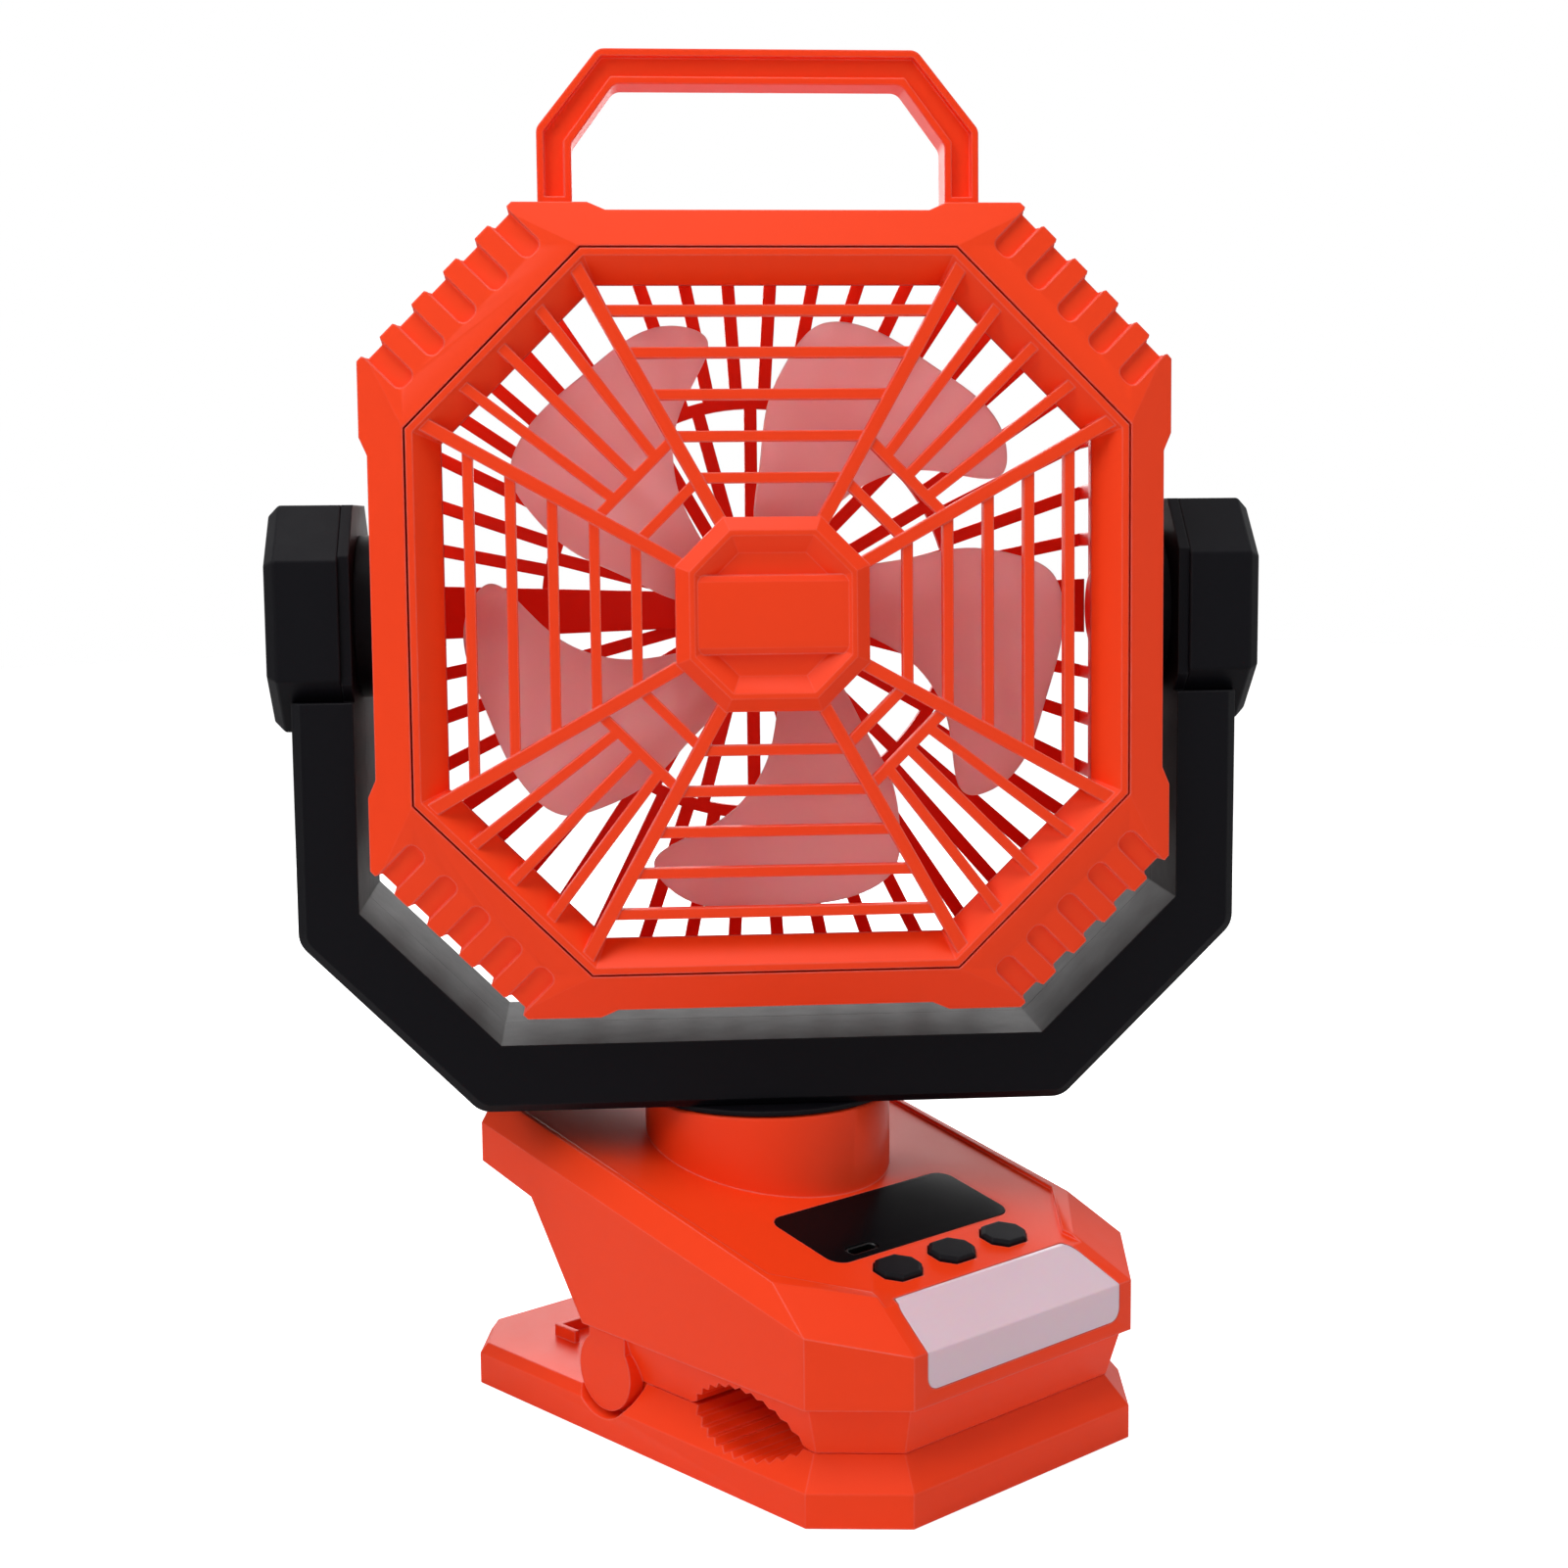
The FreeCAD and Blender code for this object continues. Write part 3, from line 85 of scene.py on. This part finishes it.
# Surface colours, linear
ORANGE = (0.920, 0.053, 0.0085, 1)
ORANGE_GUARD = (0.940, 0.028, 0.0085, 1)
BLACK = (0.0038, 0.0036, 0.0052, 1)
WINDOW = (0.0040, 0.0036, 0.0044, 1)
BLADE = (1.000, 0.540, 0.550, 1)
LENS_MILK = (0.800, 0.600, 0.680, 1)
STEEL = (0.560, 0.560, 0.570, 1)
# The charge port's steel is darkened to near black: painted shade of the slot
PORT_SHADED_STEEL = (0.030, 0.030, 0.032, 1)
ZINC = (0.430, 0.440, 0.470, 1)
BRASS = (0.560, 0.340, 0.100, 1)
ARMATURE = (0.300, 0.160, 0.080, 1)
FERRITE = (0.020, 0.020, 0.022, 1)
BOARD = (0.010, 0.085, 0.030, 1)
WHITE = (0.720, 0.720, 0.700, 1)
LED_GEL = (0.860, 0.660, 0.140, 1)
CELL_FILM = (0.020, 0.090, 0.320, 1)

# Studio: lights as place (right, toward the camera, up), size and watts
AIM = (0, 0, 0.17)
LIGHTS = {
    "key_left": ((-0.70, 0.70, 0.80), (0.50, 0.50), 4.5),
    "fill_right": ((0.85, 0.65, 0.45), (0.70, 0.90), 1.5),
    "top": ((-0.10, 0.25, 1.05), (0.70, 0.50), 5.8),
    "low_front": ((-0.10, 1.00, 0.10), (1.20, 0.50), 0.8),
    "back": ((-0.10, -0.90, 0.55), (1.00, 0.70), 6.0),
}
AMBIENT = 0.11
SEEN_WHITE = 0.89
FLOOR_HALF = 3.0
FLOOR_DROP = 0.0002
FLOOR_COLOUR = (0.92, 0.92, 0.92, 1)
FLOOR_ROUGHNESS = 0.8
FLOOR_GLOW = 0.86


# Node helpers
def new_node(tree, kind, **sockets):
    node = tree.nodes.new(kind)
    for name, value in sockets.items():
        node.inputs[name.replace("_", " ")].default_value = value
    return node


def link(tree, source, target):
    tree.links.new(source, target)


def group_socket(group, name, kind, output=False, value=None):
    side = "OUTPUT" if output else "INPUT"
    socket = group.interface.new_socket(name=name, in_out=side, socket_type=kind)
    if value is not None:
        socket.default_value = value
    return socket


def math_node(tree, operation, first, second=None, clamp=False):
    node = tree.nodes.new("ShaderNodeMath")
    node.operation = operation
    node.use_clamp = clamp
    for slot, value in ((0, first), (1, second)):
        if value is None:
            continue
        if isinstance(value, (int, float)):
            node.inputs[slot].default_value = value
        else:
            link(tree, value, node.inputs[slot])
    return node.outputs[0]


def mix_colour(tree, factor, first, second, blend="MIX"):
    node = tree.nodes.new("ShaderNodeMix")
    node.data_type = "RGBA"
    node.blend_type = blend
    for slot, value in ((0, factor), (6, first), (7, second)):
        if isinstance(value, (int, float, tuple)):
            node.inputs[slot].default_value = value
        else:
            link(tree, value, node.inputs[slot])
    return node.outputs[2]


# Shared surface: worn edges lightened further as a painted highlight, colour drift, handling marks and
# moulded grain
def make_surface_group():
    group = bpy.data.node_groups.new("moulded_surface", "ShaderNodeTree")
    group_socket(group, "Colour", "NodeSocketColor")
    group_socket(group, "Edge Colour", "NodeSocketColor")
    group_socket(group, "Drift", "NodeSocketFloat", value=0.05)
    group_socket(group, "Roughness", "NodeSocketFloat", value=0.4)
    group_socket(group, "Roughness Spread", "NodeSocketFloat", value=0.1)
    group_socket(group, "Grain Scale", "NodeSocketFloat", value=GRAIN_SCALE)
    group_socket(group, "Grain Height", "NodeSocketFloat", value=0.2)
    group_socket(group, "Edge Radius", "NodeSocketFloat", value=EDGE_RADIUS)
    group_socket(group, "Edge Wear", "NodeSocketFloat", value=0.3)
    group_socket(group, "Colour", "NodeSocketColor", output=True)
    group_socket(group, "Roughness", "NodeSocketFloat", output=True)
    group_socket(group, "Normal", "NodeSocketVector", output=True)
    given = group.nodes.new("NodeGroupInput").outputs
    out = group.nodes.new("NodeGroupOutput")
    place = group.nodes.new("ShaderNodeTexCoord").outputs["Object"]

    drift = new_node(group, "ShaderNodeTexNoise", Scale=DRIFT_SCALE, Detail=3.0, Roughness=0.55)
    link(group, place, drift.inputs["Vector"])
    marks = new_node(group, "ShaderNodeTexNoise", Scale=MARKS_SCALE, Detail=5.0, Roughness=0.65)
    link(group, place, marks.inputs["Vector"])
    grain = new_node(group, "ShaderNodeTexNoise", Detail=2.0, Roughness=0.5)
    link(group, place, grain.inputs["Vector"])
    link(group, given["Grain Scale"], grain.inputs["Scale"])

    bevel = group.nodes.new("ShaderNodeBevel")
    bevel.samples = 4
    link(group, given["Edge Radius"], bevel.inputs["Radius"])
    flat = group.nodes.new("ShaderNodeNewGeometry").outputs["Normal"]
    dot = group.nodes.new("ShaderNodeVectorMath")
    dot.operation = "DOT_PRODUCT"
    link(group, bevel.outputs["Normal"], dot.inputs[0])
    link(group, flat, dot.inputs[1])
    turn = math_node(group, "SUBTRACT", 1.0, dot.outputs["Value"])
    turn = math_node(group, "MULTIPLY", turn, EDGE_GAIN, clamp=True)
    broken = math_node(group, "MULTIPLY", marks.outputs["Fac"], MARKS_GAIN, clamp=True)
    edge = math_node(group, "MULTIPLY", turn, broken, clamp=True)

    shift = math_node(group, "SUBTRACT", drift.outputs["Fac"], 0.5)
    shift = math_node(group, "MULTIPLY", shift, given["Drift"])
    shift = math_node(group, "ADD", shift, 1.0)
    scaled = group.nodes.new("ShaderNodeVectorMath")
    scaled.operation = "SCALE"
    link(group, given["Colour"], scaled.inputs[0])
    link(group, shift, scaled.inputs["Scale"])
    # The edge mask lightens the colour: partly real edge wear, partly a painted highlight along the edges
    wear_and_highlight = math_node(group, "MULTIPLY", edge, given["Edge Wear"], clamp=True)
    colour = mix_colour(group, wear_and_highlight, scaled.outputs[0], given["Edge Colour"])

    rough = math_node(group, "SUBTRACT", marks.outputs["Fac"], 0.5)
    rough = math_node(group, "MULTIPLY", rough, given["Roughness Spread"])
    rough = math_node(group, "ADD", rough, given["Roughness"])
    rough = math_node(group, "SUBTRACT", rough, math_node(group, "MULTIPLY", wear_and_highlight, POLISH), clamp=True)

    bump = new_node(group, "ShaderNodeBump", Distance=GRAIN_DEPTH)
    link(group, given["Grain Height"], bump.inputs["Strength"])
    link(group, grain.outputs["Fac"], bump.inputs["Height"])
    link(group, bevel.outputs["Normal"], bump.inputs["Normal"])
    link(group, colour, out.inputs["Colour"])
    link(group, rough, out.inputs["Roughness"])
    link(group, bump.outputs["Normal"], out.inputs["Normal"])
    return group


surface_group = make_surface_group()


def surface_material(name, colour, edge_colour, surface=None, **shader):
    material = bpy.data.materials.new(name)
    material.use_nodes = True
    tree = material.node_tree
    principled = tree.nodes["Principled BSDF"]
    group = tree.nodes.new("ShaderNodeGroup")
    group.node_tree = surface_group
    group.inputs["Colour"].default_value = colour
    group.inputs["Edge Colour"].default_value = edge_colour
    for key, value in (surface or {}).items():
        group.inputs[key].default_value = value
    link(tree, group.outputs["Colour"], principled.inputs["Base Color"])
    link(tree, group.outputs["Roughness"], principled.inputs["Roughness"])
    link(tree, group.outputs["Normal"], principled.inputs["Normal"])
    for key, value in shader.items():
        principled.inputs[key.replace("_", " ")].default_value = value
    material.diffuse_color = colour
    return material


def lighter(colour, share):
    return tuple(c + (1 - c) * share for c in colour[:3]) + (1,)


def make_materials():
    plain = {"Drift": 0.06, "Roughness": 0.40, "Roughness Spread": 0.10, "Grain Height": 0.22}
    made = {}
    # The strong lighter edges here are a painted highlight along the chamfers as well as wear
    made["orange_plastic"] = surface_material(
        "orange_moulded_plastic", ORANGE, lighter(ORANGE, 0.28), dict(plain, **{"Edge Wear": 0.65}),
        Specular_IOR_Level=0.16)
    made["orange_guard"] = surface_material(
        "orange_guard_plastic", ORANGE_GUARD, lighter(ORANGE_GUARD, 0.10), dict(plain, Roughness=0.34),
        Specular_IOR_Level=0.10)
    # The lighter grey edges here are a painted glossy highlight as well as wear
    made["black_plastic"] = surface_material(
        "black_moulded_plastic", BLACK, (0.06, 0.06, 0.062, 1),
        {"Drift": 0.20, "Roughness": 0.50, "Roughness Spread": 0.12, "Grain Height": 0.30,
         "Edge Wear": 0.45},
        Specular_IOR_Level=0.07)
    made["window_black"] = surface_material(
        "black_window_gloss", WINDOW, (0.02, 0.02, 0.02, 1),
        {"Drift": 0.1, "Roughness": 0.22, "Roughness Spread": 0.05, "Grain Height": 0.02,
         "Edge Radius": 0.0003},
        Specular_IOR_Level=0.03)
    made["blade_plastic"] = surface_material(
        "frosted_blade_plastic", BLADE, lighter(BLADE, 0.4),
        {"Drift": 0.05, "Roughness": 0.60, "Roughness Spread": 0.08, "Grain Height": 0.15, "Edge Wear": 0.5},
        Transmission_Weight=0.25, IOR=1.10, Subsurface_Weight=0.6, Subsurface_Scale=0.006)
    made["lens_plastic"] = surface_material(
        "milky_lens_plastic", LENS_MILK, lighter(LENS_MILK, 0.4),
        {"Drift": 0.04, "Roughness": 0.30, "Roughness Spread": 0.06, "Grain Height": 0.08},
        Subsurface_Weight=0.35, Subsurface_Scale=0.004, Specular_IOR_Level=0.2)
    made["steel"] = surface_material(
        "bright_spring_steel", STEEL, (0.8, 0.8, 0.8, 1),
        {"Drift": 0.15, "Roughness": 0.26, "Roughness Spread": 0.16, "Grain Scale": 1800.0}, Metallic=1.0)
    made["port_steel"] = surface_material(
        "port_steel_painted_shade", PORT_SHADED_STEEL, (0.12, 0.12, 0.12, 1),
        {"Roughness": 0.35, "Roughness Spread": 0.1}, Metallic=1.0)
    made["zinc"] = surface_material(
        "zinc_plate", ZINC, (0.7, 0.7, 0.72, 1),
        {"Drift": 0.25, "Roughness": 0.36, "Roughness Spread": 0.2, "Grain Scale": 900.0}, Metallic=1.0)
    made["board_green"] = surface_material(
        "circuit_board", BOARD, (0.3, 0.28, 0.16, 1), {"Roughness": 0.35})
    made["white_plastic"] = surface_material(
        "white_plastic", WHITE, (0.85, 0.85, 0.85, 1), plain)
    made["led_yellow"] = surface_material(
        "led_gel", LED_GEL, (0.9, 0.8, 0.4, 1), {"Roughness": 0.18}, Subsurface_Weight=0.3)
    made["cell_wrap"] = surface_material(
        "cell_shrink_film", CELL_FILM, (0.2, 0.3, 0.5, 1), {"Roughness": 0.22})
    made["brass_bush"] = surface_material(
        "sintered_brass", BRASS, (0.8, 0.6, 0.3, 1), {"Grain Scale": 2200.0}, Metallic=1.0)
    made["magnet_grey"] = surface_material(
        "ferrite", FERRITE, (0.06, 0.06, 0.06, 1), {"Roughness": 0.7})
    made["armature_steel"] = surface_material(
        "armature_laminations", ARMATURE, (0.6, 0.4, 0.3, 1), {"Roughness": 0.4}, Metallic=1.0)
    return made


materials = make_materials()
slot_of = {entry["node"]: entry["material_slot"] for entry in frame["record"]["subparts"]}


def dress(obj, slot):
    obj.data.materials.clear()
    obj.data.materials.append(materials[slot])


def node_mesh(name):
    mesh = bmesh.new()
    mesh.from_mesh(nodes[name].data)
    bmesh.ops.remove_doubles(mesh, verts=mesh.verts, dist=WELD)
    bmesh.ops.dissolve_limit(mesh, angle_limit=math.radians(FLAT_ANGLE), verts=mesh.verts, edges=mesh.edges)
    return mesh


def add_piece(name, mesh, body, slot):
    data = bpy.data.meshes.new(name)
    mesh.to_mesh(data)
    mesh.free()
    data.shade_smooth()
    data.set_sharp_from_angle(angle=math.radians(SHARP_ANGLE))
    obj = bpy.data.objects.new(name, data)
    bpy.context.scene.collection.objects.link(obj)
    dress(obj, slot)
    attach(obj, body)
    return obj


def soften(name, width):
    slot = slot_of[name]
    piece = add_piece(name + "_soft", node_mesh(name), nodes[name]["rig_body"], slot)
    bevel = piece.modifiers.new("soft_edges", "BEVEL")
    bevel.width = width
    bevel.segments = BEVEL_STEPS
    bevel.limit_method = "ANGLE"
    bevel.angle_limit = math.radians(SHARP_ANGLE)
    bevel.harden_normals = True
    bevel.use_clamp_overlap = True
    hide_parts(name)


# Every node gets its material, and the visible mouldings get a copy with rounded edges
rounded = [
    (LAND_BEVEL, ["front_frame"]),
    (BEVEL, ["rear_housing", "yoke_front", "yoke_rear", "knob_left", "knob_right", "clip_shell", "upper_jaw",
             "lower_jaw", "handle"]),
    (FINE_BEVEL, ["front_grille", "rear_grille", "button_left", "button_middle", "button_right", "lamp_lens",
                  "display_window", "swivel_post", "pivot_disc_left", "pivot_disc_right"]),
]
for name, obj in nodes.items():
    dress(obj, slot_of[name])
# The charge port gets steel darkened to near black, a painted shade of its slot
dress(nodes["charge_port"], "port_steel")
for width, names in rounded:
    for name in names:
        soften(name, width)


# Camera
def place_camera():
    heading, pitch, roll = CAMERA_HEADING, CAMERA_PITCH, CAMERA_ROLL
    level = Vector((math.sin(heading), math.cos(heading), 0))
    forward = level * math.cos(pitch) - Vector((0, 0, math.sin(pitch)))
    right_flat = Vector((math.cos(heading), -math.sin(heading), 0))
    down_flat = forward.cross(right_flat)
    right = right_flat * math.cos(roll) + down_flat * math.sin(roll)
    down = down_flat * math.cos(roll) - right_flat * math.sin(roll)
    turn = Matrix((right, -down, -forward)).transposed().to_4x4()
    data = bpy.data.cameras.new("photo_camera")
    data.lens = LENS
    data.sensor_width = SENSOR
    data.clip_start = 0.01
    camera = bpy.data.objects.new("photo_camera", data)
    camera.matrix_world = Matrix.Translation(CAMERA_PLACE) @ turn
    bpy.context.scene.collection.objects.link(camera)
    bpy.context.scene.camera = camera
    return forward, right


view_forward, view_right = place_camera()


# Studio
def area_light(name, place, size, power):
    data = bpy.data.lights.new(name, "AREA")
    data.shape = "RECTANGLE"
    data.size, data.size_y = size
    data.energy = power
    light = bpy.data.objects.new(name, data)
    light.location = place
    light.rotation_euler = (Vector(AIM) - place).to_track_quat("-Z", "Y").to_euler()
    bpy.context.scene.collection.objects.link(light)


def view_point(right, toward, up):
    flat = Vector((view_forward.x, view_forward.y, 0)).normalized()
    return view_right * right - flat * toward + Vector((0, 0, up))


def white_when_seen(tree, path):
    seen = math_node(tree, "ADD", path.outputs["Is Camera Ray"], path.outputs["Is Glossy Ray"], clamp=True)
    return math_node(tree, "ADD", seen, path.outputs["Is Transmission Ray"], clamp=True)


def make_lights():
    for name, (place, size, power) in LIGHTS.items():
        area_light(name, view_point(*place), size, power)


def make_world():
    world = bpy.data.worlds.new("studio")
    bpy.context.scene.world = world
    world.use_nodes = True
    tree = world.node_tree
    background = tree.nodes["Background"]
    path = tree.nodes.new("ShaderNodeLightPath")
    seen = white_when_seen(tree, path)
    strength = math_node(tree, "ADD", math_node(tree, "MULTIPLY", seen, SEEN_WHITE), AMBIENT)
    background.inputs["Color"].default_value = (1, 1, 1, 1)
    link(tree, strength, background.inputs["Strength"])


def floor_material():
    material = bpy.data.materials.new("floor_white")
    material.use_nodes = True
    tree = material.node_tree
    principled = tree.nodes["Principled BSDF"]
    principled.inputs["Base Color"].default_value = FLOOR_COLOUR
    principled.inputs["Roughness"].default_value = FLOOR_ROUGHNESS
    principled.inputs["Emission Color"].default_value = (1, 1, 1, 1)
    path = tree.nodes.new("ShaderNodeLightPath")
    glow = math_node(tree, "MULTIPLY", path.outputs["Is Camera Ray"], FLOOR_GLOW)
    link(tree, glow, principled.inputs["Emission Strength"])
    return material


def make_floor():
    mesh = bmesh.new()
    bmesh.ops.create_grid(mesh, x_segments=1, y_segments=1, size=FLOOR_HALF)
    data = bpy.data.meshes.new("floor")
    mesh.to_mesh(data)
    mesh.free()
    data.materials.append(floor_material())
    floor = bpy.data.objects.new("floor", data)
    floor.location = (0, 0, -FLOOR_DROP)
    bpy.context.scene.collection.objects.link(floor)


make_lights()
make_world()
make_floor()

bpy.context.scene.view_settings.view_transform = "Standard"
